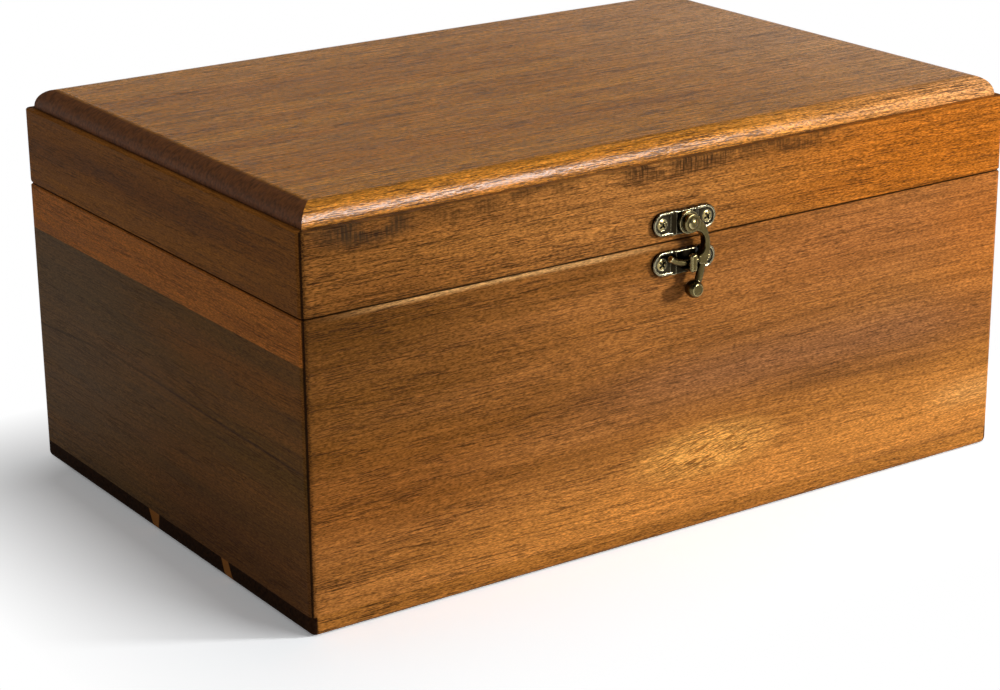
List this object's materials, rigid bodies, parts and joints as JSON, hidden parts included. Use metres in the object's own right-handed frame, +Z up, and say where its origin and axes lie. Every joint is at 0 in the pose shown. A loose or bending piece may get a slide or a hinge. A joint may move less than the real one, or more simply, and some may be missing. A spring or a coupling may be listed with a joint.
{
  "type": "keepsake box",
  "caption": "Rectangular wooden keepsake box with a hinged lid, a raised board top with rounded edges, and a swinging hook latch on the front.",
  "frame": {"origin": "centre of the underside of the box", "axes": "+X to the right along the front of the box, +Y from the front to the rear, +Z up"},
  "size_m": [0.305, 0.2144, 0.1463],
  "materials": {
    "wood_walls": "satin",
    "wood_light_stave": "satin",
    "wood_lid": "satin",
    "antique_bronze": "satin",
    "hinge_brass": "satin",
    "screw_brass": "satin"
  },
  "bodies": {
    "base": {"bottom_board": "wood_walls", "base_front_wall": "wood_walls", "base_back_wall": "wood_walls", "base_left_wall_lower_stave": "wood_walls", "base_left_wall_upper_stave": "wood_light_stave", "base_right_wall": "wood_walls", "hinge_left_base_leaf": "hinge_brass", "hinge_left_pin": "hinge_brass", "hinge_right_base_leaf": "hinge_brass", "hinge_right_pin": "hinge_brass", "hinge_base_screws": "hinge_brass", "keeper_plate": "antique_bronze", "keeper_plate_screws": "screw_brass", "keeper_catch": "antique_bronze"},
    "lid": {"lid_front_rail": "wood_lid", "lid_back_rail": "wood_lid", "lid_left_rail": "wood_lid", "lid_right_rail": "wood_lid", "lid_top_panel": "wood_lid", "hinge_left_lid_leaf": "hinge_brass", "hinge_right_lid_leaf": "hinge_brass", "hinge_lid_screws": "hinge_brass", "latch_plate": "antique_bronze", "latch_plate_screws": "screw_brass", "latch_rivet": "antique_bronze"},
    "hook": {"latch_hook": "antique_bronze"}
  },
  "joints": [
    {"name": "lid_hinge", "type": "hinge", "parent": "base", "child": "lid", "pos_m": [0, 0.1038, 0.11025], "axis": [-1, 0, 0], "range_deg": [0, 100]},
    {"name": "hook_swing", "type": "hinge", "parent": "lid", "child": "hook", "pos_m": [0, -0.1055, 0.11715], "axis": [0, -1, 0], "range_deg": [0, 110]}
  ]
}
